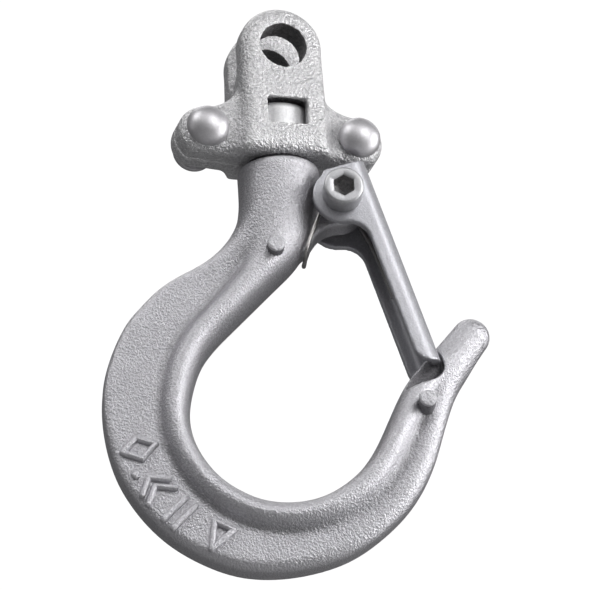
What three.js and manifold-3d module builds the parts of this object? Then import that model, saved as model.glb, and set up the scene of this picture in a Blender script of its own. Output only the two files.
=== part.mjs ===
// Swivel safety hook: a forged hook with a sprung latch, hung in a two-half riveted yoke.
// Millimetres, +Z up. The origin is the centre of the yoke's eye, on the parting plane of
// the two halves; X runs across the yoke, Y along the eye, and the front is -Y.
import * as THREE from "three";
import { mergeVertices } from "three/addons/utils/BufferGeometryUtils.js";
import Module from "manifold-3d";

// ---- yoke ----
const EYE_R = 4.03; // eye for an 8 mm pin, straight through both ears
const EYE_DROP = 0.36; // eye axis below the centre of the ears' round tops
const EAR_R = 7.15; // half width of the ears, and their round top
const FOOT_R = 7.6; // half width at the foot of the column
const YOKE_T = 14.7; // depth over both ears
const EAR_T = 4.85; // thickness of one ear
const SLOT_FLOOR_Z = -5.6; // bottom of the chain slot
const YOKE_BOTTOM_Z = -20.0;
const ARM_T = 9.0; // depth over both arms
const RIVET_X = 13.25;
const RIVET_Z = -15.65;
const ARM_END_R = 4.6;
const ARM_BOTTOM = 3.7; // rivet axis to the end of the arms' sloping underside
const WINDOW = { x: 0.2, half: 3.48, z0: -15.0, z1: -10.15 };
const RIVET_R = 2.3;
const DOME_R = 3.6;
const DOME_H = 2.6;
const SEAT = 0.06; // gap left under a fastener's seat

// ---- hook ----
const TURN = -11.7; // the hook's turn on its swivel as it hangs, degrees
const HEAD_R = 6.25; // swivel head, trapped in the yoke
const HEAD_Z = [-15.4, -10.3];
const NECK_R = 4.1;
const BORE_CLEAR = 0.08; // running clearance in the pivot bore
// Stations down the body, each a section from the bowl side to the back: bowl-side x z,
// back x z, bead width, bead half depth, web half depth, rim roundness, share of bead and
// web shape (0 is a plain round bar), height of the raised rim.
const STATIONS = [
  [6.3, -20.7, -6.3, -20.7, 8, 6.3, 3.1, 1.3, 0, 0],
  [6.9, -21.3, -6.9, -21.3, 8, 6.9, 3.1, 1.3, 0, 0],
  [6.7, -24.2, -6.9, -24.2, 8, 6.9, 3.1, 1.3, 0, 0],
  [5.7, -27.8, -7.0, -27.8, 9, 6.8, 3.1, 1.3, 0, 0],
  [5.1, -31.4, -7.7, -31.2, 10, 6.6, 3.1, 1.3, 0.05, 0],
  [4.4, -34.8, -9.9, -35.0, 10.6, 6.4, 3.1, 1.3, 0.4, 0],
  [2.4, -38.3, -13.5, -38.5, 9.8, 6.2, 3.2, 1.3, 0.85, 0],
  [-0.9, -41.6, -18.4, -41.2, 8.6, 6.1, 3.2, 1.3, 1, 0],
  [-4.5, -45.2, -21.7, -43.6, 7.5, 6.0, 3.2, 1.3, 1, 0],
  [-8.3, -49.0, -24.6, -46.7, 6.9, 5.9, 3.2, 1.3, 1, 0],
  [-11.6, -52.4, -26.8, -49.4, 6.4, 5.8, 3.2, 1.3, 1, 0],
  [-14.6, -56.6, -29.4, -54.9, 5.9, 5.8, 3.2, 1.3, 1, 0],
  [-16.5, -63.1, -31.1, -61.7, 5.5, 5.7, 3.2, 1.3, 1, 0],
  [-16.6, -67.8, -30.5, -70.4, 5.4, 5.7, 3.2, 1.3, 1, 0],
  [-15.2, -72.3, -27.7, -78.6, 5.4, 5.7, 3.2, 1.4, 1, 0],
  [-11.9, -77.0, -21.3, -86.8, 5.5, 5.7, 3.2, 1.5, 1, 0],
  [-6.8, -80.3, -12.0, -92.2, 5.7, 5.7, 3.2, 1.6, 1, 0],
  [-2.3, -81.3, -4.1, -93.4, 5.8, 5.7, 3.2, 1.7, 1, 0],
  [2.0, -81.0, 3.5, -92.4, 5.8, 5.7, 3.2, 1.9, 1, 0.1],
  [5.9, -79.6, 10.0, -89.9, 5.7, 5.6, 3.2, 2.1, 1, 0.2],
  [9.8, -76.8, 16.4, -84.9, 5.5, 5.5, 3.2, 2.3, 1, 0.35],
  [12.3, -73.8, 20.5, -79.9, 5.3, 5.4, 3.2, 2.4, 1, 0.5],
  [14.2, -70.5, 23.3, -74.3, 5.3, 5.3, 3.2, 2.4, 1, 0.5],
  [15.9, -66.9, 25.1, -68.8, 5.5, 5.2, 3.2, 2.4, 1, 0.3],
  [18.7, -61.2, 27.2, -63.0, 5.8, 4.9, 3.2, 2.4, 0.7, 0],
  [21.9, -57.1, 29.4, -59.5, 5.8, 4.2, 3.1, 2.4, 0.25, 0],
  [25.4, -53.1, 31.5, -56.2, 5.6, 3.4, 3.0, 2.2, 0, 0],
  [28.0, -50.1, 33.3, -53.7, 5.4, 3.1, 3.0, 2.2, 0, 0],
];
const NOSE_R = 3.05; // round end of the nose
const GAUGE_PIPS = [
  [-1.6, -37.5, 7.4],
  [22.0, -65.5, 6.6],
]; // x, z and depth of each round gauge mark on the front
const PIP_R = 1.45;

// ---- latch ----
const PIVOT = [10.05, -27.95]; // pivot axis, in the hook's own plane
const LATCH_TILT = 16.2; // the closed latch's lean from the vertical, degrees
const LUG_R = 3.9;
const LUG_T = 5.0;
const BOLT_R = 2.0;
const BOLT_HEAD_R = 3.35;
const BOLT_HEAD_H = 3.7;
const HEX_AF = 3.3;
const HEX_DEPTH = 2.2;
const NUT_AF = 7.0;
const NUT_H = 2.2;
const SHEET = 1.4;
const LATCH_W = 11.9; // width over the cheeks
const EAR_CHEEK_R = 4.9;
const WEB_V = 5.9; // pivot axis to the latch's outer face
const EDGE_V = 2.05; // pivot axis to the cheeks' free edge
const TOP_U = 5.25; // pivot axis to the top edge
const TIP_U = 32.8; // pivot axis to the tip
const NOTCH_U = 29.3; // pivot axis to the bottom of the notch that meets the fin
const CORNER_R = 2.3; // outside bend radius of the sheet
const FIN_T = 5.0; // thickness of the nose fin the latch straddles
const POCKET_R = 35.6; // pocket wall's radius about the pivot
const WIRE_R = 0.35;
const COIL_R = 2.75;

const wasm = await Module();
wasm.setup();
const rad = THREE.MathUtils.degToRad;

// A closed geometry as a solid, turned the right way out.
function solid(geometry) {
  const bare = geometry.clone();
  bare.deleteAttribute("normal");
  bare.deleteAttribute("uv");
  const merged = mergeVertices(bare, 1e-4);
  const position = merged.attributes.position.array;
  const index = merged.index.array;
  let faces = [];
  let volume = 0;
  for (let i = 0; i < index.length; i += 3) {
    const [a, b, c] = index.slice(i, i + 3);
    if (a === b || b === c || c === a) continue;
    faces.push([a, b, c]);
    const [p, q, r] = [a, b, c].map((k) => new THREE.Vector3().fromArray(position, 3 * k));
    volume += p.dot(q.cross(r));
  }
  if (volume < 0) faces = faces.map(([a, b, c]) => [a, c, b]);
  return new wasm.Manifold(
    new wasm.Mesh({
      numProp: 3,
      vertProperties: new Float32Array(position),
      triVerts: new Uint32Array(faces.flat()),
    }),
  );
}

function meshOf(name, shape, material) {
  const { vertProperties, triVerts } = shape.getMesh();
  const geometry = new THREE.BufferGeometry();
  geometry.setAttribute("position", new THREE.BufferAttribute(vertProperties, 3));
  geometry.setIndex(new THREE.BufferAttribute(triVerts, 1));
  geometry.computeVertexNormals();
  const mesh = new THREE.Mesh(geometry, material);
  mesh.name = name;
  return mesh;
}

// An outline drawn in X and Z, given depth along Y from y0 to y1, its edges rounded by edge.
function plate(shape, y0, y1, edge = 0, curveSegments = 10, edgeSegments = 3) {
  const geometry = new THREE.ExtrudeGeometry(shape, {
    depth: y1 - y0 - 2 * edge,
    bevelEnabled: edge > 0,
    bevelThickness: edge,
    bevelSize: edge,
    bevelOffset: -edge,
    bevelSegments: edgeSegments,
    curveSegments,
  });
  geometry.rotateX(Math.PI / 2);
  return solid(geometry.translate(0, y1 - edge, 0));
}

const box = (x0, x1, y0, y1, z0, z1) =>
  solid(
    new THREE.BoxGeometry(x1 - x0, y1 - y0, z1 - z0).translate(
      (x0 + x1) / 2,
      (y0 + y1) / 2,
      (z0 + z1) / 2,
    ),
  );

// A rod along Y through (x, z).
const rodY = (r, y0, y1, x, z, sides = 40) =>
  solid(
    new THREE.CylinderGeometry(r, r, y1 - y0, sides).translate(x, (y0 + y1) / 2, z),
  );

// A turned solid about Z, or about Y through (x, z), from [radius, height] points.
const points = (list) => list.map(([r, h]) => new THREE.Vector2(r, h));
const turnedZ = (list, sides = 40) =>
  solid(new THREE.LatheGeometry(points(list), sides).rotateX(Math.PI / 2));
const turnedY = (list, x, z, sides = 32) =>
  solid(new THREE.LatheGeometry(points(list), sides).translate(x, 0, z));

// ---- yoke halves ----
function columnOutline() {
  const s = new THREE.Shape();
  s.moveTo(-FOOT_R, YOKE_BOTTOM_Z);
  s.lineTo(FOOT_R, YOKE_BOTTOM_Z);
  s.lineTo(EAR_R, -7);
  s.absarc(0, 0, EAR_R, 0, Math.PI, false);
  s.lineTo(-EAR_R, -7);
  return s;
}

function armOutline() {
  const s = new THREE.Shape();
  const top = RIVET_Z + ARM_END_R;
  const cut = Math.asin(ARM_BOTTOM / ARM_END_R);
  s.absarc(RIVET_X, RIVET_Z, ARM_END_R, -cut, Math.PI / 2, false);
  s.quadraticCurveTo(9.2, top + 0.3, EAR_R - 0.4, top + 4.2);
  s.lineTo(-EAR_R + 0.4, top + 4.2);
  s.quadraticCurveTo(-9.2, top + 0.3, -RIVET_X, top);
  s.absarc(-RIVET_X, RIVET_Z, ARM_END_R, Math.PI / 2, Math.PI + cut, false);
  s.lineTo(-FOOT_R, YOKE_BOTTOM_Z);
  s.lineTo(FOOT_R, YOKE_BOTTOM_Z);
  return s;
}

function yokeHalf(side) {
  const half = YOKE_T / 2;
  const slot = half - EAR_T;
  let body = plate(columnOutline(), -half, half, 2.0, 12, 4)
    .add(plate(armOutline(), -ARM_T / 2, ARM_T / 2, 2.0, 6, 3));
  body = body.subtract(
    turnedZ([[0, HEAD_Z[0] - 0.3], [HEAD_R + 0.35, HEAD_Z[0] - 0.3],
      [HEAD_R + 0.35, HEAD_Z[1] + 0.9], [0, HEAD_Z[1] + 0.9]]),
  );
  const neckBore = NECK_R + 0.35;
  body = body.subtract(turnedZ([[0, -30], [neckBore, -30], [neckBore, -14], [0, -14]]));
  body = body.subtract(rodY(EYE_R, -20, 20, 0, -EYE_DROP, 48));
  for (const x of [-RIVET_X, RIVET_X])
    body = body.subtract(rodY(RIVET_R + 0.05, -20, 20, x, RIVET_Z, 24));
  const slotShape = new THREE.Shape();
  slotShape.moveTo(-slot, 12);
  slotShape.lineTo(-slot, SLOT_FLOOR_Z + slot);
  slotShape.absarc(0, SLOT_FLOOR_Z + slot, slot, Math.PI, 0, false);
  slotShape.lineTo(slot, 12);
  const slotCut = new THREE.ExtrudeGeometry(slotShape, {
    depth: 40,
    bevelEnabled: false,
    curveSegments: 8,
  });
  slotCut.translate(0, 0, -20).rotateX(Math.PI / 2).rotateZ(Math.PI / 2);
  body = body.subtract(solid(slotCut));
  const w = new THREE.Shape();
  const { x, half: h, z0, z1 } = WINDOW;
  const c = 0.5;
  w.absarc(x + h - c, z0 + c, c, -Math.PI / 2, 0, false);
  w.absarc(x + h - c, z1 - c, c, 0, Math.PI / 2, false);
  w.absarc(x - h + c, z1 - c, c, Math.PI / 2, Math.PI, false);
  w.absarc(x - h + c, z0 + c, c, Math.PI, 1.5 * Math.PI, false);
  body = body.subtract(plate(w, -20, 20, 0, 3));
  const keep = side < 0 ? box(-40, 40, -20, -0.05, -40, 20) : box(-40, 40, 0.05, 20, -40, 20);
  return body.intersect(keep);
}

// ---- rivet, headed on both sides ----
function rivet(x) {
  const seat = ARM_T / 2 + SEAT;
  const dome = [];
  for (let i = 0; i <= 5; i++) {
    const a = rad(90 * (1 - i / 5));
    dome.push([DOME_R * Math.sin(a), seat + 0.35 + DOME_H * Math.cos(a)]);
  }
  const upper = [[RIVET_R, seat - 0.02], [DOME_R - 0.15, seat], ...dome];
  upper[upper.length - 1][0] = 0;
  const lower = upper.map(([r, h]) => [r, -h]).reverse();
  return turnedY([...lower, ...upper], x, RIVET_Z, 24);
}

// ---- hook ----
// Point t of 1 along the stations, each column on its own Catmull-Rom curve.
function station(t) {
  const last = STATIONS.length - 1;
  const i = Math.min(Math.floor(t * last), last - 1);
  const f = t * last - i;
  const row = (k) => STATIONS[Math.max(0, Math.min(last, k))];
  return row(i).map((_, c) => {
    const [a, b, d, e] = [-1, 0, 1, 2].map((k) => row(i + k)[c]);
    return b + 0.5 * f * (d - a + f * (2 * a - 5 * b + 4 * d - e + f * (3 * (b - d) + e - a)));
  });
}

const SIDE = 14; // steps from the bowl side to the back, on each face

// Half a section: [distance from the bowl side, half depth] points. Most of an ellipse makes
// the bead, and a flat web runs on from it to a rounded rim.
function halfSection([xi, zi, xo, zo, bead, depth, web, edge, share, rim]) {
  const length = Math.hypot(xo - xi, zo - zi);
  const leave = Math.PI - Math.asin(Math.min(0.98, (web + 0.45) / depth));
  const shaped = [];
  for (let j = 0; j <= 7; j++) {
    const a = (leave * j) / 7;
    shaped.push([(bead * (1 - Math.cos(a))) / 2, depth * Math.sin(a)]);
  }
  const foot = bead + 0.15;
  const run = length - edge - foot;
  const high = web + 0.4 * rim;
  shaped.push([foot, web], [foot + run / 3, web - 0.5 * rim], [foot + (2 * run) / 3, web]);
  shaped.push([length - edge, high], [length - edge / 2, high - 0.13 * edge]);
  shaped.push([length - 0.13 * edge, high - 0.65 * edge], [length, 0]);
  return shaped.map(([d, y], j) => {
    const a = (Math.PI * j) / SIDE;
    const [plainD, plainY] = [(length * (1 - Math.cos(a))) / 2, depth * Math.sin(a)];
    return [plainD + share * (d - plainD), plainY + share * (y - plainY)];
  });
}

function hookBody() {
  const steps = (STATIONS.length - 1) * 3;
  const rings = [];
  const ringAt = (s, shift = [0, 0], scale = 1) => {
    const [xi, zi, xo, zo] = s;
    const length = Math.hypot(xo - xi, zo - zi);
    const dir = [(xo - xi) / length, (zo - zi) / length];
    const mid = [(xi + xo) / 2 + shift[0], (zi + zo) / 2 + shift[1]];
    const half = halfSection(s);
    const ring = [];
    const put = (t, y) => {
      const d = (t - length / 2) * scale;
      ring.push(mid[0] + dir[0] * d, y * scale, mid[1] + dir[1] * d);
    };
    half.forEach(([t, y]) => put(t, -y));
    for (let j = SIDE - 1; j > 0; j--) put(half[j][0], half[j][1]);
    return ring;
  };
  for (let i = 0; i <= steps; i++) rings.push(ringAt(station(i / steps)));
  const end = station(1);
  const [px, pz] = [end[2] - end[0], end[3] - end[1]];
  const w = Math.hypot(px, pz);
  const ahead = [-pz / w, px / w];
  for (let k = 1; k <= 5; k++) {
    const a = rad(90 * (k / 5.6));
    const s = NOSE_R * Math.sin(a);
    rings.push(ringAt(end, [ahead[0] * s, ahead[1] * s], Math.cos(a)));
  }
  const n = 2 * SIDE;
  const position = rings.flat();
  const index = [];
  for (let i = 0; i + 1 < rings.length; i++)
    for (let j = 0; j < n; j++) {
      const [a, b] = [i * n + j, i * n + ((j + 1) % n)];
      index.push(a, b, b + n, a, b + n, a + n);
    }
  for (const [ring, flip] of [[0, true], [rings.length - 1, false]]) {
    const c = position.length / 3;
    const centre = [0, 0, 0];
    for (let j = 0; j < n; j++)
      for (let k = 0; k < 3; k++) centre[k] += rings[ring][3 * j + k] / n;
    position.push(...centre);
    for (let j = 0; j < n; j++) {
      const [a, b] = [ring * n + j, ring * n + ((j + 1) % n)];
      index.push(...(flip ? [c, b, a] : [c, a, b]));
    }
  }
  const geometry = new THREE.BufferGeometry();
  geometry.setAttribute("position", new THREE.Float32BufferAttribute(position, 3));
  geometry.setIndex(index);
  return solid(geometry);
}

// The latch's own directions in the hook's plane: u down its length, v towards its outside.
const tilt = rad(LATCH_TILT);
const uv = (u, v) => [
  PIVOT[0] + u * Math.sin(tilt) + v * Math.cos(tilt),
  PIVOT[1] - u * Math.cos(tilt) + v * Math.sin(tilt),
];

function lugOutline() {
  const s = new THREE.Shape();
  const [x, z] = PIVOT;
  s.moveTo(-2, z + 4.6);
  s.lineTo(3.5, z + 4.6);
  s.quadraticCurveTo(6.5, z + LUG_R + 0.1, x, z + LUG_R);
  s.absarc(x, z, LUG_R, Math.PI / 2, -Math.PI / 2, true);
  s.quadraticCurveTo(6.8, z - LUG_R - 0.1, 5.3, z - 6.5);
  s.lineTo(3.7, z - 8.7);
  s.lineTo(-2, z - 9.7);
  return s;
}

function hookForging() {
  let body = hookBody();
  body = body.add(
    turnedZ([
      [0, -24], [NECK_R, -24], [NECK_R, HEAD_Z[0]], [HEAD_R - 0.3, HEAD_Z[0]],
      [HEAD_R, HEAD_Z[0] + 0.3], [HEAD_R, HEAD_Z[1] - 0.6], [HEAD_R - 0.6, HEAD_Z[1]],
      [0, HEAD_Z[1]],
    ]),
  );
  body = body.add(plate(lugOutline(), -LUG_T / 2, LUG_T / 2, 0, 10));
  body = body.subtract(rodY(BOLT_R + BORE_CLEAR, -20, 20, ...PIVOT, 32));
  for (const [x, z, y] of GAUGE_PIPS)
    body = body.add(
      turnedY([[0, -y - 0.45], [PIP_R - 0.3, -y - 0.45], [PIP_R, -y - 0.15], [PIP_R, -2], [0, -2]],
        x, z, 20),
    );
  const pocket = new THREE.Shape();
  const outer = 6.35;
  const wall = (v) => uv(Math.sqrt(POCKET_R ** 2 - v * v), v);
  pocket.moveTo(...uv(26, -8));
  pocket.lineTo(...uv(26, outer));
  pocket.lineTo(...uv(POCKET_R - 2.9, outer));
  pocket.quadraticCurveTo(...uv(POCKET_R - 0.8, outer), ...wall(outer - 2.4));
  for (const v of [3, 1, -1, -3, -5, -8]) pocket.lineTo(...wall(v));
  for (const [y0, y1] of [[-20, -FIN_T / 2], [FIN_T / 2, 20]])
    body = body.subtract(plate(pocket, y0, y1, 0, 8));
  return body;
}

// ---- latch: a pressed channel with round ears ----
// Its outline from the side, drawn in u and v; past the web's side it runs on by 1 mm.
function latchSide() {
  const R = EAR_CHEEK_R;
  const hollow = 4.0; // radius between the ear and the cheek's free edge
  const nose = 2.9; // radius at the tip
  const hv = EDGE_V - hollow;
  const hu = Math.sqrt((R + hollow) ** 2 - hv ** 2);
  const meet = Math.atan2(hv, hu);
  const from = rad(206);
  const line = [[-TOP_U, WEB_V + 1], [-TOP_U, -1.4]];
  for (let i = 0; i <= 14; i++) {
    const a = from + ((meet + 2 * Math.PI - from) * i) / 14;
    line.push([R * Math.cos(a), R * Math.sin(a)]);
  }
  for (let i = 1; i <= 6; i++) {
    const a = meet + Math.PI + ((-Math.PI / 2 - meet) * i) / 6;
    line.push([hu + hollow * Math.cos(a), hv + hollow * Math.sin(a)]);
  }
  for (let i = 0; i <= 5; i++) {
    const a = rad(-90 + 18 * i);
    line.push([TIP_U - nose + nose * Math.cos(a), EDGE_V + nose + nose * Math.sin(a)]);
  }
  line.push([TIP_U, WEB_V + 1]);
  return new THREE.Shape(line.map(([u, v]) => new THREE.Vector2(...uv(u, v))));
}

// The channel's section, in v and y, run along u.
function channelSolid() {
  const w = LATCH_W / 2;
  const r = CORNER_R;
  const inner = r - SHEET;
  const s = new THREE.Shape();
  const back = -12;
  s.moveTo(back, -w);
  s.lineTo(WEB_V - r, -w);
  s.absarc(WEB_V - r, -w + r, r, -Math.PI / 2, 0, false);
  s.lineTo(WEB_V, w - r);
  s.absarc(WEB_V - r, w - r, r, 0, Math.PI / 2, false);
  s.lineTo(back, w);
  s.lineTo(back, w - SHEET);
  s.lineTo(WEB_V - r, w - SHEET);
  s.absarc(WEB_V - r, w - r, inner, Math.PI / 2, 0, true);
  s.lineTo(WEB_V - SHEET, -w + r);
  s.absarc(WEB_V - r, -w + r, inner, 0, -Math.PI / 2, true);
  s.lineTo(back, -w + SHEET);
  const geometry = new THREE.ExtrudeGeometry(s, {
    depth: 60,
    bevelEnabled: false,
    curveSegments: 5,
  });
  // section x is v, section y is depth, and the run is u
  const m = new THREE.Matrix4().makeBasis(
    new THREE.Vector3(Math.cos(tilt), 0, Math.sin(tilt)),
    new THREE.Vector3(0, 1, 0),
    new THREE.Vector3(Math.sin(tilt), 0, -Math.cos(tilt)),
  );
  const [x, z] = uv(-20, 0);
  m.setPosition(x, 0, z);
  return solid(geometry.applyMatrix4(m));
}

function latch() {
  let body = channelSolid().intersect(plate(latchSide(), -20, 20));
  body = body.subtract(rodY(BOLT_R + 0.06, -20, 20, ...PIVOT, 32));
  // notch in the web's tip, which the nose fin enters
  const notch = new THREE.Shape([
    [NOTCH_U, 3.4], [NOTCH_U, 8], [36, 8], [36, 3.4],
  ].map(([u, v]) => new THREE.Vector2(...uv(u, v))));
  return body.subtract(plate(notch, -FIN_T / 2 - 0.4, FIN_T / 2 + 0.4));
}

// ---- pivot bolt, nut and spring ----
function pivotBolt() {
  const face = LATCH_W / 2 + SEAT;
  const top = face + BOLT_HEAD_H;
  let body = turnedY(
    [
      [0, -top], [BOLT_HEAD_R - 0.5, -top], [BOLT_HEAD_R - 0.12, -top + 0.16],
      [BOLT_HEAD_R, -top + 0.5], [BOLT_HEAD_R, -face], [BOLT_R, -face + 0.01],
      [BOLT_R, face + NUT_H + 0.3], [BOLT_R - 0.4, face + NUT_H + 0.7], [0, face + NUT_H + 0.7],
    ],
    ...PIVOT,
  );
  const corner = HEX_AF / Math.sqrt(3);
  const hex = new THREE.CylinderGeometry(corner, corner, 2 * HEX_DEPTH, 6);
  hex.translate(PIVOT[0], -top, PIVOT[1]);
  body = body.subtract(solid(hex));
  const floor = -top + HEX_DEPTH - 0.1;
  return body.subtract(
    turnedY([[0, floor + 0.9], [HEX_AF / 2 - 0.1, floor], [0, floor]], ...PIVOT, 18),
  );
}

function lockNut() {
  const face = LATCH_W / 2 + SEAT;
  const rim = NUT_AF / Math.sqrt(3);
  const prism = new THREE.CylinderGeometry(rim, rim, NUT_H, 6);
  prism.rotateY(rad(30) + tilt).translate(PIVOT[0], face + NUT_H / 2, PIVOT[1]);
  const bound = turnedY(
    [
      [0, face], [rim - 0.5, face], [rim, face + 0.3], [rim, face + NUT_H - 0.3],
      [rim - 0.5, face + NUT_H], [0, face + NUT_H],
    ],
    ...PIVOT,
  );
  return solid(prism).intersect(bound).subtract(rodY(BOLT_R + 0.05, 0, 20, ...PIVOT, 32));
}

// One wire: an end on the web, a coil on the bolt, a loop under the lug, and the same again.
function springWire() {
  const [px, pz] = PIVOT;
  const half = [];
  const y0 = 3.9;
  const y1 = 3.2;
  half.push([...uv(16.5, WEB_V - SHEET - WIRE_R - 0.1), y0]);
  half.push([...uv(11.0, WEB_V - SHEET - WIRE_R - 0.12), y0]);
  half.push([...uv(5.6, WEB_V - SHEET - WIRE_R - 0.5), y0]);
  const start = tilt - Math.PI / 2 + rad(78);
  const sweep = rad(360 + 129);
  const turns = 22;
  for (let i = 0; i <= turns; i++) {
    const a = start + (sweep * i) / turns;
    const y = y0 + ((y1 - y0) * i) / turns;
    half.push([px + COIL_R * Math.cos(a), pz + COIL_R * Math.sin(a), y]);
  }
  half.push([5.3, -32.6, 3.2]);
  half.push([3.95, -36.2, 3.2]);
  half.push([3.72, -37.1, 2.75]);
  half.push([3.72, -37.45, 1.8]);
  const list = [
    ...half.map(([x, z, y]) => new THREE.Vector3(x, -y, z)),
    ...half.reverse().map(([x, z, y]) => new THREE.Vector3(x, y, z)),
  ];
  const path = new THREE.CatmullRomCurve3(list, false, "centripetal");
  const section = new THREE.Shape();
  section.absarc(0, 0, WIRE_R, 0, 2 * Math.PI, false);
  return solid(
    new THREE.ExtrudeGeometry(section, {
      steps: 96,
      bevelEnabled: false,
      curveSegments: 4,
      extrudePath: path,
    }),
  );
}

const paint = (color, roughness, metalness) =>
  new THREE.MeshStandardMaterial({ color, roughness, metalness });
const yokePaint = paint(0xc4c2c8, 0.45, 0.55);
const hookPaint = paint(0xaeadb4, 0.5, 0.55);
const latchSteel = paint(0xb9b8bf, 0.42, 0.6);
const brightSteel = paint(0xb4b2b8, 0.35, 0.75);
const springSteel = paint(0x9a9794, 0.35, 0.8);

const assembly = new THREE.Group();
assembly.add(
  meshOf("yoke_front_half", yokeHalf(-1), yokePaint),
  meshOf("yoke_back_half", yokeHalf(1), yokePaint),
  meshOf("yoke_rivet_left", rivet(-RIVET_X), brightSteel),
  meshOf("yoke_rivet_right", rivet(RIVET_X), brightSteel),
);
const swivel = new THREE.Group();
swivel.rotation.z = rad(TURN);
swivel.add(
  meshOf("hook_forging", hookForging(), hookPaint),
  meshOf("safety_latch", latch(), latchSteel),
  meshOf("latch_pivot_bolt", pivotBolt(), brightSteel),
  meshOf("latch_lock_nut", lockNut(), brightSteel),
  meshOf("latch_spring", springWire(), springSteel),
);
assembly.add(swivel);
assembly.position.z = EYE_DROP;

const safetyHook = new THREE.Group();
safetyHook.add(assembly);

export default safetyHook;
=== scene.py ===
"""Swivel safety hook: fine surfaces, finishes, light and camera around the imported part.

Shapes are worked out in millimetres. in_yoke() and in_hook() put them in the row frame: the
yoke stands square to X and Y, and the hook and latch hang turned on the swivel.
finish_piece() brings each finished piece to metres.
"""

import bpy
import numpy as np
from mathutils import Matrix, Vector


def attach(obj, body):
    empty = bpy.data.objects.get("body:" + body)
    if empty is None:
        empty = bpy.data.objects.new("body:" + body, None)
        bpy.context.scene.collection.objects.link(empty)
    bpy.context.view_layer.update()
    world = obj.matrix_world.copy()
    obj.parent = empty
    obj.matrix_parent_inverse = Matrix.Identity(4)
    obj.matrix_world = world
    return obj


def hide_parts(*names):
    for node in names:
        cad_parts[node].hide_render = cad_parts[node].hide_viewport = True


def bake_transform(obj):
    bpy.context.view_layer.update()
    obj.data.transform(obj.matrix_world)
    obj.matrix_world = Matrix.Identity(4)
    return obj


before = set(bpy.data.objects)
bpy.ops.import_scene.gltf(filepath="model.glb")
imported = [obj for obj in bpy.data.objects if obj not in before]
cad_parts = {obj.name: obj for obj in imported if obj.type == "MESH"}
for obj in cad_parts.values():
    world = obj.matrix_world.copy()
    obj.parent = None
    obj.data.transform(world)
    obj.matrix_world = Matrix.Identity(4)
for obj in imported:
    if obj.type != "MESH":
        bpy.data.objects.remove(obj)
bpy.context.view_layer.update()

MM = 0.001
TURN = np.radians(-11.7)  # the hook's turn on its swivel at rest
EYE_DROP = 0.36  # eye axis below the centre of the ears' round tops
THROUGH = 20.0  # how far a cutter runs to each side of the middle plane
SNUG = 0.05  # gap round the rivets and in the nut
SEAT = 0.06  # gap under the rivets' domes, the bolt's head and the nut

# yoke
EYE_R = 4.03
EAR_R = 7.15
FOOT_R = 7.6
YOKE_T = 14.7
SLOT = 2.5  # half the chain slot
SLOT_FLOOR_Z = -5.6
YOKE_BOTTOM_Z = -20.0
YOKE_EDGE_R, YOKE_HOLLOW_R = 2.0, 2.0  # roundness of outer edges, of hollow corners
HALVES_GAP = 0.1  # between the front and back halves
ARM_T = 9.0
RIVET_X, RIVET_Z = 13.25, -15.65
ARM_END_R = 4.6
ARM_BOTTOM = 3.7  # where an arm's round end stops, below the rivet's middle
SHOULDER_X, SHOULDER_RISE = 9.2, 4.2  # pull and rise of the curve from an arm to the ear
WINDOW = (0.2, 3.48, -15.0, -10.15)  # middle x, half width, bottom z, top z
WINDOW_CORNER_R = 0.5
RIVET_R, DOME_R, DOME_H = 2.3, 3.6, 2.6
DOME_EDGE = 0.35  # the upright edge below a dome

# hook
HEAD_R, HEAD_Z0, HEAD_Z1 = 6.25, -15.4, -10.3
NECK_R = 4.1
HEAD_GAP = 0.35  # running clearance round the swivel head and its neck
PIP_R, PIP_EDGE_R = 1.45, 0.35
GAUGE_PIPS = ((-1.6, -37.5, 7.4), (22.0, -65.5, 6.6))  # x, z, height above the middle plane
NOSE_R, NOSE_ROWS = 3.05, 11
SECTION_BLEND = 0.15  # roundness of the corner between bead and web
MARKS_X, MARKS_Y, MARKS_Z = -1.2, -3.25, -65.6  # middle of the marks' circle, on the web
MARK_R, MARK_DEPTH, DOT_R, DOT_DEPTH = 0.55, 1.25, 0.75, 0.75
DIAMOND_AT, DOT_AT, CHEVRONS_AT = 194.6, 203.4, 210.9  # degrees round the marks' circle
BARS_AT, TRIANGLE_AT = 224.4, 241.4
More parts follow.
